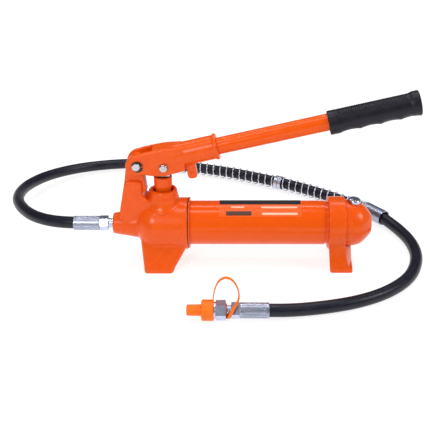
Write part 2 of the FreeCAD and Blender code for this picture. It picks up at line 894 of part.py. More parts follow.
def build_check_valves():
    """The discharge valve in the port, and the suction valve with its plug, tube and strainer."""
    port = D["port_height"]
    low = D["suction_height"]
    seated = math.sqrt(D["ball"].value ** 2 - D["passage"].value ** 2) + 0.05
    check_ball("discharge_ball", -D["valve_seat"] - seated, port)
    keep("discharge_spring", ring("discharge_coil", 3.6, 2.9, 3.6, (-56.9, 0, port), X_AXIS))
    check_ball("suction_ball", 15.2 - seated, low)
    keep("suction_spring", ring("suction_coil", 3.6, 2.9, 2.8, (5.1, 0, low), X_AXIS))
    keep("suction_seat", ring("suction_plug", 5.95, D["passage"], 11, (15.2, 0, low), X_AXIS))
    tube_x = 48
    bend = 5
    end = low.value - bend
    eased = bend * math.sqrt(0.5)
    start = Vector(26.2, 0, low.value)
    first = Vector(tube_x - bend, 0, low.value)
    middle = Vector(tube_x - bend + eased, 0, end + eased)
    last = Vector(tube_x, 0, end)
    path = Part.Wire(
        [
            Part.LineSegment(start, first).toShape(),
            Part.Arc(first, middle, last).toShape(),
            Part.LineSegment(last, last - Z_AXIS * 5.8).toShape(),
        ]
    )
    keep("suction_tube", piped("suction_pipe", path, 3.2, 2.2))
    strainer = turned(
        "strainer",
        [(0, 31.4), (6, 31.4), (6, 38.6), (3.3, 38.6), (3.3, 37.4), (5, 37.4), (5, 32.4), (0, 32.4)],
        (tube_x, 0, 0),
    )
    keep("suction_strainer", strainer)


def build_release_valve():
    """A stem with a cone that closes the passage back to the tank, turned by a knob."""
    x = -D["release_x"]
    z = D["release_height"]
    stem = turned(
        "release_stem_blank",
        [
            (0, 7.4),
            (1.2, 8.1),
            (3.4, 11),
            (3.4, 22),
            (4.0, 22.6),
            (4.0, 27),
            (2.95, 27),
            (2.95, 29.4),
            (4.0, 29.4),
            (4.0, 50),
            (0, 50),
        ],
        (x, 0, z),
        Y_AXIS,
    )
    keep("release_stem", stem)
    knob = turned(
        "release_knob_blank",
        [
            (4.02, 38.2),
            (8.5, 38.2),
            (10.6, 40.4, 2.4),
            (10.6, 49),
            (9, 51.4, 2.6),
            (0, 51.4),
            (0, 50.02),
            (4.02, 50.02),
        ],
        (x, 0, z),
        Y_AXIS,
    )
    flutes = []
    count = 10
    for i in range(count):
        angle = 2 * math.pi * i / count
        at = (x + 11.6 * math.cos(angle), 37, z + 11.6 * math.sin(angle))
        flutes.append(rod(f"knob_flute{i}", 1.7, 16, at, Y_AXIS))
    keep("release_knob", cut("release_knob_made", knob, flutes))
    seal = doc.addObject("Part::Torus", "release_seal")
    seal.Radius1 = 3.5
    seal.Radius2 = 0.52
    keep("release_oring", place(seal, (x, 28.2, z), Y_AXIS))


# ---- hose and coupler ---------------------------------------------------------------------------


def smooth_path(route):
    """Straight runs joined by tangent arcs, each as large as its shorter run allows."""
    corners = [Vector(*p) for p in route]
    edges = []
    radii = []
    start = corners[0]
    for before, corner, after in zip(corners, corners[1:], corners[2:]):
        arriving = corner - before
        leaving = after - corner
        turn = arriving.getAngle(leaving)
        tangent = 0.45 * min(arriving.Length, leaving.Length)
        radius = tangent / math.tan(turn / 2)
        radii.append(radius)
        arriving.normalize()
        leaving.normalize()
        first = corner - arriving * tangent
        last = corner + leaving * tangent
        middle = corner + (leaving - arriving).normalize() * (radius / math.cos(turn / 2) - radius)
        edges.append(Part.LineSegment(start, first).toShape())
        edges.append(Part.Arc(first, middle, last).toShape())
        start = last
    edges.append(Part.LineSegment(start, corners[-1]).toShape())
    return Part.Wire(edges), radii


def piped(name, path, outer, inner=0):
    """A round rod or tube swept along a path, checked against its section times its length."""
    start = path.Edges[0]
    origin = start.valueAt(start.FirstParameter)
    along = start.tangentAt(start.FirstParameter)
    rim = Part.Wire([Part.Circle(origin, along, outer).toShape()])
    solid = rim_pipe(path, rim)
    if inner:
        solid = solid.cut(rim_pipe(path, Part.Wire([Part.Circle(origin, along, inner).toShape()])))
    expected = math.pi * (outer**2 - inner**2) * path.Length
    if abs(solid.Volume / expected - 1) > 0.01:
        raise RuntimeError(f"{name} has volume {solid.Volume:.0f}, not {expected:.0f}")
    thing = doc.addObject("Part::Feature", name)
    thing.Shape = solid
    thing.Placement = Placement()
    return thing


def rim_pipe(path, rim):
    return path.makePipeShell([rim], True, False)


def build_hose():
    radius = D["hose_radius"].value
    path, radii = smooth_path(HOSE_ROUTE)
    print("hose", round(path.Length), "mm, radii", [round(r) for r in radii])
    keep("hose", piped("hose_tube", path, radius))
    outer = D["spring_radius"].value
    inner = outer - D["spring_wire"].value
    for name, stretch in (("guard_spring_left", LEFT_SPRING), ("guard_spring_right", RIGHT_SPRING)):
        coil, spring_radii = smooth_path(spring_route(*stretch))
        print(name, round(coil.Length), "mm, radii", [round(r) for r in spring_radii])
        keep(name, piped(f"{name}_tube", coil, outer, inner))
    start = Vector(*HOSE_ROUTE[18])
    end = Vector(*HOSE_ROUTE[19])
    along = (end - start).normalize()
    sleeve_start = start - along * 1
    keep("guard_sleeve", ring("sleeve", 11.4, 10.0, 37, tuple(sleeve_start), along))


def spring_route(start, end):
    """The stretch of the hose's route that a guard spring covers, hanging down to the floor."""
    (first, skipped), (last, left_over) = start, end
    resting = D["spring_radius"].value
    points = [Vector(x, y, resting) for x, y, _ in HOSE_ROUTE[first : last + 1]]
    points[0] = points[0] + (points[1] - points[0]) * skipped
    points[-1] = points[-1] + (points[-2] - points[-1]) * left_over
    return [tuple(p) for p in points]


def crimped(name, start, length, at, along):
    """A ferrule with lengthwise crimp grooves, bored for the hose."""
    outer = D["ferrule_radius"]
    blank = turned(
        f"{name}_blank",
        [
            (D["hose_radius"] + 0.05, 0),
            (outer - 0.8, 0),
            (outer, 0.8, 0.8),
            (outer, length - 0.8),
            (outer - 0.8, length, 0.8),
            (D["hose_radius"] + 0.05, length),
        ],
        at,
        along,
    )
    grooves = []
    count = 16
    groove_radius = 0.9
    for i in range(count):
        angle = 2 * math.pi * i / count
        reach = outer.value + 0.4
        base = (start, at[1] + reach * math.cos(angle), at[2] + reach * math.sin(angle))
        grooves.append(rod(f"{name}_groove{i}", groove_radius, length - 7, base, along))
    return keep(name, cut(f"{name}_made", blank, grooves))


def nut(name, circumradius, length, at, along, bore):
    """A hexagon with chamfered corners and a bore."""
    flats = hexagon(f"{name}_flats", circumradius, length, at, along, 30)
    chamfer = circumradius * 0.09
    turned_blank = turned(
        f"{name}_turned",
        [
            (bore, 0),
            (circumradius - chamfer, 0),
            (circumradius, chamfer * 0.6),
            (circumradius, length - chamfer * 0.6),
            (circumradius - chamfer, length),
            (bore, length),
        ],
        at,
        along,
    )
    return common(f"{name}_hex", [flats, turned_blank])


def build_hose_fittings():
    port = D["port_height"]
    keep("outlet_nipple", ring("nipple", 6.65, 2.5, 20.2, (-77.2, 0, port), X_AXIS))
    keep("hose_nut", nut("hose_nut", 10.4, 11.6, (-88.9, 0, port), X_AXIS, 2.5))
    crimped("hose_ferrule", -121.7, 36.4, (-125.4, 0, port), X_AXIS)


def build_coupler():
    """The quick coupler: stem, swivelling sleeve nut, poppet, spring, dust cap and leash."""
    side = -D["coupler_side"]
    height = D["coupler_height"]
    along = -X_AXIS

    def point(x):
        return (x, side, height)

    crimped("coupler_ferrule", 134.8, 36.3, point(138.4), along)
    stem_hex = nut("stem_nut", 10.2, 10.2, point(102.0), along, 3)
    neck = turned(
        "stem_neck",
        [(3, 0), (6.5, 0), (6.5, 16.2), (5.4, 16.2), (5.4, 30), (3, 30)],
        point(91.8),
        along,
    )
    keep("coupler_stem", fused("stem_blank", [stem_hex, neck]))
    sleeve_hex = nut("sleeve_nut", 12.6, 12.6, point(85.3), along, 6.9)
    nose = ring("sleeve_nose", 10.4, 6.9, 12.2, point(72.7), along)
    keep("coupler_nut", fused("sleeve_blank", [sleeve_hex, nose]))
    poppet = [(0, 0), (1.6, 0), (1.6, 8), (2.8, 10), (2.8, 14), (0, 15)]
    keep("coupler_poppet", turned("poppet", poppet, point(77), along))
    keep("coupler_spring", ring("poppet_spring", 2.8, 2.0, 7.6, point(84.8), along))
    cap = turned(
        "cap_shell",
        [
            (10.75, 0),
            (12.2, 0),
            (13.1, 0.9, 0.9),
            (13.1, 13.6),
            (11.7, 15, 1.4),
            (8.6, 15.6),
            (7.1, 17, -1.5),
            (6.9, 32),
            (5.4, 33.6, 1.6),
            (0, 33.6),
            (0, 13.2),
            (10.75, 13.2),
        ],
        point(70.4),
        along,
    )
    keep("dust_cap", cap)
    build_leash(side, height)


def build_leash(side, height):
    """A flat band: a ring round the stem's neck, and a loop up and over to the dust cap."""
    band = plate("leash_loop", leash_outline(), 4.4, (0, side, 0))
    collar = ring("leash_collar", 8.2, 6.55, 4.6, (91.5, side, height), -X_AXIS)
    hole = rod("leash_clearance", 6.55, 40, (110, side, height), -X_AXIS)
    keep("cap_leash", cut("leash_made", fused("leash_blank", [band, collar]), [hole]))


def leash_outline():
    """The band seen from the side: out along the loop, and back 1.4 mm inside it."""
    return [
        (72.3, 25.9),
        (86.5, 58.2, -21.5),
        (100.4, 41, -16),
        (92.9, 28.4, -36),
        (87.6, 20.2),
        (89.2, 19.4),
        (94.2, 27.8),
        (101.9, 41, 37),
        (86.5, 59.7, 17.6),
        (70.9, 25.9, 22.9),
    ]


# ---- make, check and write -----------------------------------------------------------------------


def check_and_write():
    doc.recompute()
    for thing in doc.Objects:
        if "Invalid" in thing.State or "Error" in thing.State:
            raise RuntimeError(f"{thing.Name} did not build: {thing.State}")
    for node in nodes:
        shape = node.Shape
        if shape.isNull() or not shape.isValid() or not shape.Solids:
            raise RuntimeError(f"{node.Label} has no valid solid")
    for node in nodes:
        node.Shape.exportStep(f"parts/{node.Label}.step")
        box = node.Shape.BoundBox
        print(
            f"{node.Label:22s} {node.Shape.Volume / 1000:8.2f} cm3, {len(node.Shape.Solids)} solid,"
            f" X {box.XMin:.1f}..{box.XMax:.1f} Y {box.YMin:.1f}..{box.YMax:.1f}"
            f" Z {box.ZMin:.1f}..{box.ZMax:.1f}"
        )


build_head()
build_reservoir()
build_plunger()
build_rocker()
build_pins()
build_handle()
build_check_valves()
build_release_valve()
build_hose_fittings()
build_hose()
build_coupler()
check_and_write()
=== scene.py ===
import json
import math

import bmesh
import bpy
from mathutils import Matrix, Vector


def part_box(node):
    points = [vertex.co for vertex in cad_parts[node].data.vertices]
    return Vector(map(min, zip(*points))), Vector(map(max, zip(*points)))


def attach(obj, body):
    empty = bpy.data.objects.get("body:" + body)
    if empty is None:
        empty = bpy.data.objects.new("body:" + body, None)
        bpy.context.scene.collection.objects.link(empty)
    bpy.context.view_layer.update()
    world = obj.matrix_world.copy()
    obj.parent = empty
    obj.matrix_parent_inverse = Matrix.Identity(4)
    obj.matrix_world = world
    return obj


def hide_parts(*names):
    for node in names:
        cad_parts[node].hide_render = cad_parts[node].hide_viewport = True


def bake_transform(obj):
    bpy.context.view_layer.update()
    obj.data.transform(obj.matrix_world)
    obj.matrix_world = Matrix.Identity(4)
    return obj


# The looks of a hydraulic hand pump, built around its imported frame. Metres, +Z up, +X from the
# pump head to the domed end of the reservoir.

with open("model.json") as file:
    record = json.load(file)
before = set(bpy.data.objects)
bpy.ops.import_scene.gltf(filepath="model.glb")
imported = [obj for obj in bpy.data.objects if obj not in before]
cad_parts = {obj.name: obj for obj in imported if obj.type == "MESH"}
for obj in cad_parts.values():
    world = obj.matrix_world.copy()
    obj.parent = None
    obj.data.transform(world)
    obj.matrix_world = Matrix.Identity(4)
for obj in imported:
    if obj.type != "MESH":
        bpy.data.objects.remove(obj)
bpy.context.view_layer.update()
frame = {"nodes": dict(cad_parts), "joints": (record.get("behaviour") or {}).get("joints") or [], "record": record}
nodes = frame["nodes"]
joints = {joint["name"]: joint for joint in frame["joints"]}

MM = 0.001
X_AXIS = Vector((1, 0, 0))
Y_AXIS = Vector((0, 1, 0))
Z_AXIS = Vector((0, 0, 1))

# The hose's route in millimetres, from inside its first ferrule to inside its last.
HOSE_ROUTE = [
    (-96, 0, 56.5),
    (-125.4, 0, 56.5),
    (-164, 12, 53.5),
    (-199, 41, 49.3),
    (-228, 91, 43),
    (-239.4, 139.5, 35),
    (-237, 188.5, 28),
    (-217.3, 236.5, 22),
    (-185, 275, 16),
    (-148, 298, 12.6),
    (-99, 309, 12.2),
    (-35, 307.5, 12.4),
    (30, 289, 12.6),
    (89, 268.5, 12.6),
    (144, 241, 12.6),
    (190, 216, 12.4),
    (234, 184.5, 12.3),
    (270, 154.5, 12.2),
    (296, 130, 12.2),
    (316, 104, 11.8),
    (333, 76.5, 8.6),
    (344, 43, 8.4),
    (347, 13, 8.4),
    (344.3, -15.5, 8.4),
    (332.7, -49.8, 8.4),
    (314.4, -77, 8.4),
    (285.2, -102.8, 8.4),
    (250, -121.2, 8.4),
    (217, -131.4, 8.4),
    (185, -138, 8.4),
    (160, -144.6, 11),
    (138.4, -148, 13.2),
    (119.5, -148, 13.2),
]
HOSE_RADIUS = 8.4 * MM
TUBE_RADIUS = 30 * MM

# ---- materials ---------------------------------------------------------------------------------


class Finish:
    """A Principled material and the few node patterns that the finishes share."""

    def __init__(self, name, **sockets):
        self.material = bpy.data.materials.new(name)
        self.material.use_nodes = True
        self.tree = self.material.node_tree
        self.shader = self.tree.nodes["Principled BSDF"]
        self.place = self.node("ShaderNodeTexCoord").outputs["Object"]
        for socket, value in sockets.items():
            self.shader.inputs[socket.replace("_", " ")].default_value = value

    def node(self, kind, **settings):
        made = self.tree.nodes.new(kind)
        for name, value in settings.items():
            setattr(made, name, value)
        return made

    def feed(self, source, target):
        self.tree.links.new(source, target)

    def noise(self, size, detail=3, stretch=(1, 1, 1)):
        """Noise with features of the given size in metres."""
        mapping = self.node("ShaderNodeMapping")
        mapping.inputs["Scale"].default_value = stretch
        texture = self.node("ShaderNodeTexNoise")
        texture.inputs["Scale"].default_value = 1 / size
        texture.inputs["Detail"].default_value = detail
        self.feed(self.place, mapping.inputs["Vector"])
        self.feed(mapping.outputs["Vector"], texture.inputs["Vector"])
        return texture.outputs["Fac"]

    def between(self, source, low, high):
        """Maps the middle of a noise's range to low..high."""
        ranged = self.node("ShaderNodeMapRange")
        ranged.inputs["From Min"].default_value = 0.3
        ranged.inputs["From Max"].default_value = 0.7
        ranged.inputs["To Min"].default_value = low
        ranged.inputs["To Max"].default_value = high
        self.feed(source, ranged.inputs["Value"])
        return ranged.outputs["Result"]

    def mixed(self, factor, first, second):
        """A colour between two, each a value or another node's output."""
        mix = self.node("ShaderNodeMix", data_type="RGBA")
        self.feed(factor, mix.inputs["Factor"])
        for socket, colour in ((mix.inputs["A"], first), (mix.inputs["B"], second)):
            if isinstance(colour, tuple):
                socket.default_value = (*colour, 1)
            else:
                self.feed(colour, socket)
        return mix.outputs["Result"]

    def colour(self, factor, first, second):
        self.feed(self.mixed(factor, first, second), self.shader.inputs["Base Color"])

    def roughness(self, factor, low, high):
        self.feed(self.between(factor, low, high), self.shader.inputs["Roughness"])

    def relief(self, *layers):
        """Stacks bumps, each a pattern and its depth in metres."""
        normal = None
        for height, depth in layers:
            bump = self.node("ShaderNodeBump")
            bump.inputs["Distance"].default_value = depth
            self.feed(height, bump.inputs["Height"])
            if normal:
                self.feed(normal, bump.inputs["Normal"])
            normal = bump.outputs["Normal"]
        self.feed(normal, self.shader.inputs["Normal"])

    def math(self, operation, first, second):
        """One step of arithmetic on two terms, each a number or another node's output."""
        step = self.node("ShaderNodeMath", operation=operation)
        for socket, value in zip(step.inputs, (first, second)):
            if isinstance(value, (int, float)):
                socket.default_value = value
            else:
                self.feed(value, socket)
        return step.outputs[0]

    def inside(self, value, low, high):
        """1 where a value lies between two limits, else 0."""
        above = self.math("GREATER_THAN", value, low)
        return self.math("MULTIPLY", above, self.math("LESS_THAN", value, high))


ORANGE = (0.84, 0.098, 0.001)
DEEP_ORANGE = (0.79, 0.083, 0.001)
TUBE_ORANGE = (0.81, 0.089, 0.001)
LABEL_ORANGE = (0.95, 0.125, 0.012)
DEEP_LABEL_ORANGE = (0.90, 0.11, 0.010)
PRINT_BLACK = (0.028, 0.026, 0.030)
PRINT_BROWN = (0.10, 0.045, 0.030)
PRINT_PALE = (0.94, 0.55, 0.40)


def cast_paint():
    """Gloss paint over a sand casting: soft waves, orange peel and small pits."""
    finish = Finish("orange_paint", Specular_IOR_Level=0.32)
    finish.colour(finish.between(finish.noise(9 * MM), 0, 1), ORANGE, DEEP_ORANGE)
    finish.roughness(finish.noise(4 * MM), 0.24, 0.31)
    finish.relief((finish.noise(8 * MM, 1), 0.05 * MM), (finish.noise(1.6 * MM, 1), 0.006 * MM))
    return finish.material


def tube_paint():
    """The same paint on drawn steel tube, smoother and glossier."""
    finish = Finish("orange_tube_paint", Specular_IOR_Level=0.28)
    finish.colour(finish.between(finish.noise(14 * MM), 0, 1), ORANGE, TUBE_ORANGE)
    finish.roughness(finish.noise(6 * MM), 0.17, 0.23)
    finish.relief((finish.noise(2.2 * MM, 1), 0.006 * MM))
    return finish.material


def steel(name, colour, low, high, stretch, scratch):
    """Bare or plated steel with fine machining marks along one direction."""
    finish = Finish(name, Metallic=1.0)
    dull = tuple(channel * 0.8 for channel in colour)
    finish.colour(finish.between(finish.noise(5 * MM), 0, 1), colour, dull)
    marks = finish.noise(0.9 * MM, 3, stretch)
    finish.roughness(marks, low, high)
    finish.relief((marks, scratch))
    return finish.material


def rubber(name, colour, low, high, grain, depth):
    """Rubber with a fine moulded or wrapped surface."""
    finish = Finish(name, Specular_IOR_Level=0.3)
    dusty = tuple(channel * 1.4 + 0.002 for channel in colour)
    finish.colour(finish.between(finish.noise(12 * MM), 0, 1), colour, dusty)
    finish.roughness(finish.noise(3 * MM), low, high)
    finish.relief((finish.noise(grain, 2), depth))
    return finish.material


def plastic(name, colour, low, high):
    """Moulded plastic with a faint texture."""
    finish = Finish(name, Specular_IOR_Level=0.3)
    paler = tuple(min(channel * 1.12, 1) for channel in colour)
    finish.colour(finish.between(finish.noise(8 * MM), 0, 1), colour, paler)
    finish.roughness(finish.noise(4 * MM), low, high)
    finish.relief((finish.noise(1.5 * MM, 2), 0.008 * MM))
    return finish.material


def label_vinyl():
    """A printed label: a black band along the top and plain bars below it.

    A bar has its ends in millimetres along the label, and its edges in degrees round the tube
    above level.
    """
    finish = Finish("label_vinyl", Specular_IOR_Level=0.25)
    low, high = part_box("reservoir_label")
    axis_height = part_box("reservoir_tube")[0].z + TUBE_RADIUS
    spread = finish.node("ShaderNodeSeparateXYZ")
    finish.feed(finish.place, spread.inputs["Vector"])
    near = finish.math("MULTIPLY", spread.outputs["Y"], -1)
    up = finish.math("SUBTRACT", spread.outputs["Z"], axis_height)
    angle = finish.math("MULTIPLY", finish.math("ARCTAN2", up, near), 180 / math.pi)
    along = finish.math("MULTIPLY", finish.math("SUBTRACT", spread.outputs["X"], low.x), 1 / MM)
    length = (high.x - low.x) / MM

    def bar(start, end, bottom, top):
        return finish.math("MULTIPLY", finish.inside(along, start, end), finish.inside(angle, bottom, top))

    patches = finish.between(finish.noise(10 * MM), 0, 1)
    base = finish.mixed(patches, LABEL_ORANGE, DEEP_LABEL_ORANGE)
    for mask, colour in (
        (bar(1, length - 1, 79.5, 138), PRINT_BLACK),
        (bar(17, 34, 67, 72), PRINT_PALE),
        (bar(57, 105, 66, 71.5), PRINT_PALE),
        (bar(58, 105, 46.5, 52.5), PRINT_PALE),
        (bar(10, 44, 44.5, 57), PRINT_BROWN),
    ):
        base = finish.mixed(mask, base, colour)
    finish.feed(base, finish.shader.inputs["Base Color"])
    finish.roughness(finish.noise(5 * MM), 0.30, 0.38)
    finish.relief((finish.noise(3 * MM, 2), 0.006 * MM))
    return finish.material


# How the machining marks stretch: round the part, along it, or neither.
TURNED = (1, 4, 4)
DRAWN = (0.15, 3, 3)
EVEN = (1, 1, 1)
MATERIALS = {
    "orange_paint": cast_paint(),
    "orange_tube_paint": tube_paint(),
    "label_vinyl": label_vinyl(),
    "zinc_steel": steel("zinc_steel", (0.67, 0.73, 0.93), 0.26, 0.38, TURNED, 0.004 * MM),
    "pin_steel": steel("pin_steel", (0.62, 0.62, 0.66), 0.20, 0.34, TURNED, 0.004 * MM),
    "black_steel": steel("black_steel", (0.045, 0.045, 0.050), 0.30, 0.45, EVEN, 0.003 * MM),
    "ball_steel": steel("ball_steel", (0.80, 0.80, 0.82), 0.06, 0.12, EVEN, 0.001 * MM),
    "spring_steel": steel("spring_steel", (0.82, 0.85, 0.96), 0.30, 0.42, EVEN, 0.003 * MM),
    "ferrule_steel": steel("ferrule_steel", (0.45, 0.48, 0.60), 0.32, 0.44, DRAWN, 0.004 * MM),
    "brass": steel("brass", (0.78, 0.56, 0.24), 0.22, 0.34, TURNED, 0.004 * MM),
    "hose_rubber": rubber("hose_rubber", (0.008, 0.008, 0.016), 0.32, 0.42, 1.2 * MM, 0.020 * MM),
    "grip_rubber": rubber("grip_rubber", (0.006, 0.0055, 0.012), 0.36, 0.46, 0.7 * MM, 0.015 * MM),
    "seal_rubber": rubber("seal_rubber", (0.012, 0.012, 0.013), 0.45, 0.60, 1 * MM, 0.010 * MM),
    "seal_plastic": plastic("seal_plastic", (0.75, 0.74, 0.70), 0.30, 0.40),
    "black_plastic": plastic("black_plastic", (0.020, 0.020, 0.022), 0.32, 0.42),
    "cap_plastic": plastic("cap_plastic", (0.82, 0.155, 0.001), 0.40, 0.50),
}


def dress(piece, slot):
    """Gives a piece the material of one of the record's slots."""
    piece.data.materials.clear()
    piece.data.materials.append(MATERIALS[slot])


def dress_frame():
    """Every CAD node gets the finish of its slot."""
    for part in frame["record"]["subparts"]:
        node = nodes[part["node"]]
        node.data.materials.clear()
        node.data.materials.append(MATERIALS[part["material_slot"]])


# ---- helpers -----------------------------------------------------------------------------------


def add_object(name, data):
    piece = bpy.data.objects.new(name, data)
    bpy.context.scene.collection.objects.link(piece)
    return piece


def mesh_piece(name, build):
    """A smooth-shaded mesh object filled in by a function."""
    mesh = bpy.data.meshes.new(name)
    bm = bmesh.new()
    build(bm)
    bmesh.ops.recalc_face_normals(bm, faces=bm.faces)
    for face in bm.faces:
        face.smooth = True
    bm.to_mesh(mesh)
    bm.free()
    return add_object(name, mesh)


def skin(bm, rings, closed_ends=True):
    """Joins rings of points with quads, and fans each end shut."""
    rows = [[bm.verts.new(point) for point in ring] for ring in rings]
    count = len(rows[0])
    for one, two in zip(rows, rows[1:]):
        for i in range(count):
            j = (i + 1) % count
            bm.faces.new((one[i], one[j], two[j], two[i]))
    if closed_ends:
        for row in (rows[0], rows[-1]):
            centre = bm.verts.new(sum((v.co for v in row), Vector()) / count)
            for i in range(count):
                bm.faces.new((row[i], row[(i + 1) % count], centre))


def centreline(curve):
    """The points that a curve with no bevel runs through."""
    piece = add_object("probe", curve)
    mesh = bpy.data.meshes.new_from_object(piece)
    points = [vertex.co.copy() for vertex in mesh.vertices]
    bpy.data.objects.remove(piece)
    bpy.data.meshes.remove(mesh)
    return points


def new_curve(name, points, radius=0.0):
    """A curve of one smooth open NURBS spline, with those control points."""
    curve = bpy.data.curves.new(name, "CURVE")
    curve.dimensions = "3D"
    curve.resolution_u = 12
    curve.bevel_depth = radius
    curve.bevel_resolution = 6
    curve.use_fill_caps = True
    spline = curve.splines.new("NURBS")
    spline.points.add(len(points) - 1)
    for point, place in zip(spline.points, points):
        point.co = (*place, 1)
    spline.order_u = 3
    spline.use_endpoint_u = True
    return curve


class Track:
    """A line of points that knows its length, and carries an untwisted frame along it."""

    def __init__(self, points):
        self.points = points
        self.travel = [0.0]
        for one, two in zip(points, points[1:]):
            self.travel.append(self.travel[-1] + (two - one).length)
        self.sides = []
        side = Z_AXIS
        for i in range(len(points)):
            along = self.direction(i)
            side = (side - along * side.dot(along)).normalized()
            self.sides.append(side)

    def direction(self, i):
        ahead = self.points[min(i + 1, len(self.points) - 1)]
        behind = self.points[max(i - 1, 0)]
        return (ahead - behind).normalized()

    def nearest(self, target):
        """The travel at the point nearest to the target."""
        i = min(range(len(self.points)), key=lambda k: (self.points[k] - target).length)
        return self.travel[i]

    def at(self, travel):
        """The place, direction and side at a travel along the line."""
        i = 1
        while i < len(self.points) - 1 and self.travel[i] < travel:
            i += 1
        share = (travel - self.travel[i - 1]) / (self.travel[i] - self.travel[i - 1])
        place = self.points[i - 1].lerp(self.points[i], share)
        along = self.direction(i - 1).lerp(self.direction(i), share).normalized()
        side = self.sides[i - 1].lerp(self.sides[i], share)
        side = (side - along * side.dot(along)).normalized()
        return place, along, side


# ---- hose and guard springs --------------------------------------------------------------------


def add_hose():
    route = [Vector(point) * MM for point in HOSE_ROUTE]
    track = Track(centreline(new_curve("hose_line", route)))
    hose = add_object("hose_skin", new_curve("hose_skin", route, HOSE_RADIUS))
    dress(hose, "hose_rubber")
    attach(hose, "pump")
    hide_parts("hose")
    return hose, track


SPRING_RADIUS = 11.8 * MM
WIRE_RADIUS = 0.95 * MM
OPEN_PITCH = 12 * MM
CLOSED_PITCH = 2.0 * MM
STEPS_PER_TURN = 14
# Where the two guard springs start, meet and end, in millimetres, and the gap they leave there.
SPRINGS_START = (-67, 308, 12)
SPRINGS_MEET = (168.4, 228, 12)
SPRINGS_END = (292.4, 133.4, 12)
SPRING_HALF_GAP = 0.6 * MM


def helix(track, start, end, closed_start, closed_end):
    """Points of a coil that rests on the floor round the track, with closed turns at its two ends."""
    points = []
    travel = start
    turn = 0.0
    while travel <= end:
        place, along, side = track.at(travel)
        across = along.cross(side)
        reach = SPRING_RADIUS - WIRE_RADIUS
        resting = Vector((place.x, place.y, SPRING_RADIUS))
        points.append(resting + (side * math.cos(turn) + across * math.sin(turn)) * reach)
        to_end = min((travel - start) / closed_start, (end - travel) / closed_end)
        share = min(max((to_end - 1) * 2, 0), 1)
        pitch = CLOSED_PITCH + (OPEN_PITCH - CLOSED_PITCH) * share
        travel += pitch / STEPS_PER_TURN
        turn += 2 * math.pi / STEPS_PER_TURN
    return points


def add_spring(name, node, track, start, end, closed_start, closed_end):
    points = helix(track, start, end, closed_start, closed_end)
    spring = add_object(name, new_curve(name, points, WIRE_RADIUS))
    spring.data.resolution_u = 1
    spring.data.bevel_resolution = 2
    dress(spring, "spring_steel")
    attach(spring, "pump")
    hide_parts(node)
    return spring


def add_springs(track):
    """Two guard springs that meet where their closed turns touch."""
    start, meeting, end = (
        track.nearest(Vector(place) * MM) for place in (SPRINGS_START, SPRINGS_MEET, SPRINGS_END)
    )
    left = add_spring(
        "guard_coil_left",
        "guard_spring_left",
        track,
        start,
        meeting - SPRING_HALF_GAP,
        closed_start=3 * MM,
        closed_end=6 * MM,
    )
    right = add_spring(
        "guard_coil_right",
        "guard_spring_right",
        track,
        meeting + SPRING_HALF_GAP,
        end,
        closed_start=5 * MM,
        closed_end=3 * MM,
    )
    return left, right


# ---- grip --------------------------------------------------------------------------------------

GRIP_START = 35.7 * MM
GRIP_LENGTH = 117 * MM
GRIP_RADIUS = 15.1 * MM
GRIP_BORE = 11.22 * MM
GRIP_DROP = 0.95 * MM
START_FLANGE = 0.6 * MM
END_FLANGE = 0.9 * MM
RIBS_START = 8 * MM
RIBS_END = 102.5 * MM
RIBS_FADE = 1.5 * MM
RIB_PITCH = 2.3 * MM
RIB_HEIGHT = 0.45 * MM
PANEL_DEPTH = 0.3 * MM
PANEL_HALF_ANGLE = 57
EDGE_BEAD = 0.35 * MM
FINGERS = 4
FINGERS_START = 13 * MM
FINGER_PITCH = 25.8 * MM
FINGER_SWELL = 0.9 * MM
FINGER_DEPTH = 1.6 * MM
END_WALL = 3.2 * MM
FAN_RADIUS = 2 * MM


def smooth_step(value, low, high):
    """0 up to low, 1 from high, and an even curve between."""
    share = min(max((value - low) / (high - low), 0), 1)
    return share * share * (3 - 2 * share)


def grip_radius(travel, angle):
    """The grip's outer radius at a travel from its start and an angle from its top.

    It hangs a little low on the tube, with a flange at each end, a ribbed panel with a beaded
    edge over the top, and finger hollows below.
    """
    below = -math.cos(angle)
    near_start = 1 - smooth_step(travel, 12 * MM, 17 * MM)
    near_end = smooth_step(travel, GRIP_LENGTH - 14 * MM, GRIP_LENGTH - 8 * MM)
    radius = GRIP_RADIUS + GRIP_DROP * below
    radius += START_FLANGE * near_start * (1 + below)
    radius += (END_FLANGE - 0.5 * MM * below) * near_end
    turn = abs(math.degrees(angle))
    on_ribs = smooth_step(travel, RIBS_START, RIBS_START + RIBS_FADE)
    on_ribs *= 1 - smooth_step(travel, RIBS_END - RIBS_FADE, RIBS_END)
    on_panel = 1 - smooth_step(turn, PANEL_HALF_ANGLE - 2, PANEL_HALF_ANGLE)
    rib = 0.5 - 0.5 * math.cos(2 * math.pi * (travel - RIBS_START) / RIB_PITCH)
    radius += on_ribs * on_panel * (RIB_HEIGHT * rib - PANEL_DEPTH)
    radius += EDGE_BEAD * math.exp(-(((turn - PANEL_HALF_ANGLE - 2) / 2.2) ** 2))
    finger = (travel - FINGERS_START) / FINGER_PITCH
    if 0 < finger < FINGERS:
        hollow = math.sin(math.pi * (finger % 1)) ** 0.8
        underside = smooth_step(turn, 95, 150)
        radius += underside * (FINGER_SWELL * (1 - near_start) - FINGER_DEPTH * hollow)
    return radius


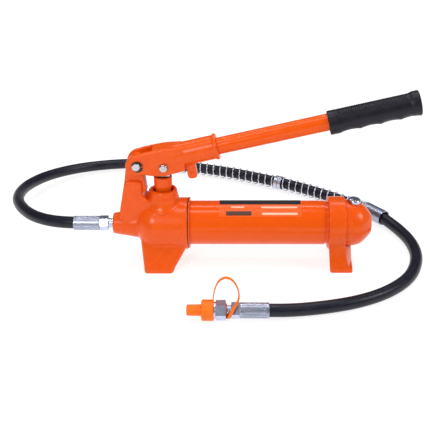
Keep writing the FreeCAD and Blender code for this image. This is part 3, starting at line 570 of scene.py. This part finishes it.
def add_grip():
    """The rubber grip, lofted from rings: up its bore, over its start and along its outside."""
    low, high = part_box("handle_tube")
    along = Vector(joints["handle_pull"]["axis"]).normalized()
    start = (low + high) / 2 + along * GRIP_START
    side = -Y_AXIS
    up = side.cross(along)
    up = up if up.z > 0 else -up
    columns = 96
    angles = [2 * math.pi * i / columns for i in range(columns)]

    def ring(travel, radius_of):
        points = []
        for angle in angles:
            turned = angle if angle <= math.pi else angle - 2 * math.pi
            radius = radius_of(turned)
            points.append(start + along * travel + (up * math.cos(angle) + side * math.sin(angle)) * radius)
        return points

    def shape(bm):
        bore_end = GRIP_LENGTH - END_WALL
        rings = [ring(bore_end, lambda angle: FAN_RADIUS), ring(bore_end, lambda angle: GRIP_BORE)]
        rings.append(ring(0, lambda angle: GRIP_BORE))
        rings.append(ring(0, lambda angle: grip_radius(0, angle) - 0.8 * MM))
        step = RIB_PITCH / 7
        count = int((GRIP_LENGTH - 2.2 * MM) / step)
        for i in range(count + 1):
            travel = 0.8 * MM + step * i
            rings.append(ring(travel, lambda angle, t=travel: grip_radius(t, angle)))
        for inset, short in ((0.35, 0.6), (1.0, 0.2), (2.0, 0.0)):
            travel = GRIP_LENGTH - short * MM
            rings.append(ring(travel, lambda angle, t=travel, k=inset: grip_radius(t, angle) - k * MM))
        dish = GRIP_LENGTH - 0.6 * MM
        rings.append(ring(GRIP_LENGTH, lambda angle: 11 * MM))
        rings.append(ring(dish, lambda angle: 10 * MM))
        rings.append(ring(dish, lambda angle: FAN_RADIUS))
        skin(bm, rings)

    grip = mesh_piece("grip_sleeve", shape)
    dress(grip, "grip_rubber")
    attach(grip, "handle")
    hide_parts("handle_grip")


# ---- dust cap's leash --------------------------------------------------------------------------

# How far the neck that holds the leash's ring lies beyond the dust cap.
NECK_REACH = 15.6 * MM


def add_leash():
    """A flat band from the dust cap's rim, up and over to a ring round the coupler's neck."""
    low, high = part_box("dust_cap")
    centre = (low + high) / 2
    rim = Vector((high.x - 0.8 * MM, centre.y, high.z - 1.2 * MM))
    neck = Vector((high.x + NECK_REACH, centre.y, centre.z))
    # Each place has the direction of the band's width there.
    route = [
        (rim, Y_AXIS),
        (rim + Vector((0.4, 0, 8)) * MM, Y_AXIS),
        (rim + Vector((2.6, 0, 20)) * MM, Y_AXIS),
        (rim + Vector((7.5, 0, 31)) * MM, Y_AXIS),
        (rim + Vector((16.5, 0, 36)) * MM, Y_AXIS),
        (rim + Vector((26, 0, 30)) * MM, Y_AXIS),
        (rim + Vector((32, -1, 16)) * MM, Y_AXIS),
        (rim + Vector((31.5, -5, 5.5)) * MM, (Y_AXIS + X_AXIS * 0.5).normalized()),
        (neck + Vector((8.0, -12.3, 8.5)) * MM, (Y_AXIS * 0.4 + X_AXIS).normalized()),
        (neck + Vector((3.6, -11.5, -2.5)) * MM, X_AXIS),
        (neck + Vector((1.6, -6.5, -8.5)) * MM, X_AXIS),
        (neck + Vector((0.2, -1.5, -7.4)) * MM, X_AXIS),
    ]
    track = Track(centreline(new_curve("leash_line", [place for place, _ in route])))
    widths = Track(centreline(new_curve("leash_sides", [side * 10 + place for place, side in route])))
    half_width = 2.2 * MM
    half_thick = 0.65 * MM
    section = [(1, -0.5), (1, 0.5), (0.86, 1), (-0.86, 1), (-1, 0.5), (-1, -0.5), (-0.86, -1), (0.86, -1)]

    def shape(bm):
        rings = []
        for i, place in enumerate(track.points):
            along = track.direction(i)
            side = widths.points[i] - place
            side = (side - along * side.dot(along)).normalized()
            thick = along.cross(side)
            rings.append([place + side * a * half_width + thick * b * half_thick for a, b in section])
        skin(bm, rings)
        columns = 48
        # The ring's section: radius and offset along X, in millimetres.
        collar = [(6.56, -0.4), (6.8, -0.6), (8.1, -0.6), (8.4, -0.4)]
        collar += [(radius, -offset) for radius, offset in reversed(collar)]
        loops = []
        for radius, offset in [*collar, collar[0]]:
            ring = []
            for k in range(columns):
                angle = 2 * math.pi * k / columns
                out = Y_AXIS * math.cos(angle) + Z_AXIS * math.sin(angle)
                ring.append(neck + X_AXIS * offset * MM + out * radius * MM)
            loops.append(ring)
        skin(bm, loops, closed_ends=False)
        bmesh.ops.remove_doubles(bm, verts=bm.verts, dist=0.001 * MM)

    leash = mesh_piece("cap_strap", shape)
    dress(leash, "cap_plastic")
    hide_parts("cap_leash")
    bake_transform(leash)
    return leash


# ---- castings ----------------------------------------------------------------------------------

WELD = 0.005 * MM


def add_casting(name, node, body, voxel, rounds):
    """A copy of a CAD casting whose corners are blended as a sand mould leaves them."""
    mesh = nodes[node].data.copy()
    bm = bmesh.new()
    bm.from_mesh(mesh)
    bmesh.ops.remove_doubles(bm, verts=bm.verts, dist=WELD)
    bm.to_mesh(mesh)
    bm.free()
    normals = mesh.attributes.get("custom_normal")
    if normals:
        mesh.attributes.remove(normals)
    piece = add_object(name, mesh)
    remesh = piece.modifiers.new("remesh", "REMESH")
    remesh.mode = "VOXEL"
    remesh.voxel_size = voxel
    remesh.use_smooth_shade = True
    smooth = piece.modifiers.new("smooth", "SMOOTH")
    smooth.factor = 0.5
    smooth.iterations = rounds
    final = bpy.data.meshes.new_from_object(piece.evaluated_get(bpy.context.evaluated_depsgraph_get()))
    piece.modifiers.clear()
    piece.data = final
    final.name = name
    for polygon in final.polygons:
        polygon.use_smooth = True
    dress(piece, "orange_paint")
    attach(piece, body)
    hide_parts(node)


# ---- stage -------------------------------------------------------------------------------------

FLOOR_HALF = 5.0
# The floor lies this far under the feet, so that no two faces share a plane.
FLOOR_DROP = 0.2 * MM
LIGHT_ON_SURFACES = 0.43
LIGHT_IN_MIRRORS = 0.08


def add_floor():
    """A plain pale floor that glows a little, so that it stays near white."""

    def shape(bm):
        half = FLOOR_HALF
        corners = [(-half, -half), (half, -half), (half, half), (-half, half)]
        bm.faces.new([bm.verts.new((x, y, -FLOOR_DROP)) for x, y in corners])

    floor = mesh_piece("floor", shape)
    finish = Finish(
        "floor_paper",
        Roughness=0.8,
        Specular_IOR_Level=0.1,
        Base_Color=(0.30, 0.30, 0.30, 1),
        Emission_Color=(1, 1, 1, 1),
        Emission_Strength=0.80,
    )
    floor.data.materials.append(finish.material)


def add_light(name, place, target, size, power):
    light = bpy.data.lights.new(name, "AREA")
    light.shape = "RECTANGLE"
    light.size, light.size_y = size
    light.energy = power
    lamp = add_object(name, light)
    lamp.location = place
    lamp.rotation_mode = "QUATERNION"
    lamp.rotation_quaternion = (Vector(target) - Vector(place)).to_track_quat("-Z", "Y")


def add_lights():
    middle = (0.07, 0, 0.06)
    add_light("left_box", (-0.68, -1.5, 1.19), middle, (0.5, 0.5), 13)
    add_light("right_box", (1.76, -0.48, 1.32), middle, (0.6, 0.6), 14)
    add_light("top_strip", (0.1, -0.05, 2.0), middle, (1.8, 0.16), 11)
    add_light("back_strip", (0.1, 0.9, 1.7), middle, (1.8, 0.14), 9)


def add_world():
    """Even light for the surfaces, and a darker studio for what they mirror."""
    world = bpy.data.worlds.new("studio")
    bpy.context.scene.world = world
    world.use_nodes = True
    tree = world.node_tree
    background = tree.nodes["Background"]
    background.inputs["Color"].default_value = (1, 1, 1, 1)
    path = tree.nodes.new("ShaderNodeLightPath")
    strength = tree.nodes.new("ShaderNodeMapRange")
    strength.inputs["To Min"].default_value = LIGHT_ON_SURFACES
    strength.inputs["To Max"].default_value = LIGHT_IN_MIRRORS
    tree.links.new(path.outputs["Is Glossy Ray"], strength.inputs["Value"])
    tree.links.new(strength.outputs["Result"], background.inputs["Strength"])


def add_camera():
    """The camera looks down a little from the front, with a slight roll."""
    azimuth = math.radians(2.0)
    elevation = math.radians(27.0)
    roll = math.radians(0.9)
    distance = 1.08
    target = Vector((0.0686, 0, 0.0687))
    back = Vector(
        (
            math.sin(azimuth) * math.cos(elevation),
            -math.cos(azimuth) * math.cos(elevation),
            math.sin(elevation),
        )
    )
    level = Vector((math.cos(azimuth), math.sin(azimuth), 0))
    upright = back.cross(level)
    right = level * math.cos(roll) - upright * math.sin(roll)
    up = upright * math.cos(roll) + level * math.sin(roll)
    data = bpy.data.cameras.new("camera")
    data.sensor_width = 36
    data.lens = 66.46
    camera = add_object("camera", data)
    turn = Matrix((right, up, back)).transposed().to_4x4()
    camera.matrix_world = Matrix.Translation(target + back * distance) @ turn
    bpy.context.scene.camera = camera
    bpy.context.scene.view_settings.view_transform = "Standard"


# ---- build -------------------------------------------------------------------------------------

dress_frame()
hose, hose_track = add_hose()
coils = add_springs(hose_track)
add_grip()
leash = add_leash()
add_casting("head_casting", "pump_head", "pump", voxel=0.9 * MM, rounds=6)
add_casting("rocker_casting", "rocker", "rocker", voxel=0.7 * MM, rounds=5)
add_casting("foot_casting", "rear_foot", "pump", voxel=0.9 * MM, rounds=6)
add_floor()
add_lights()
add_world()
add_camera()
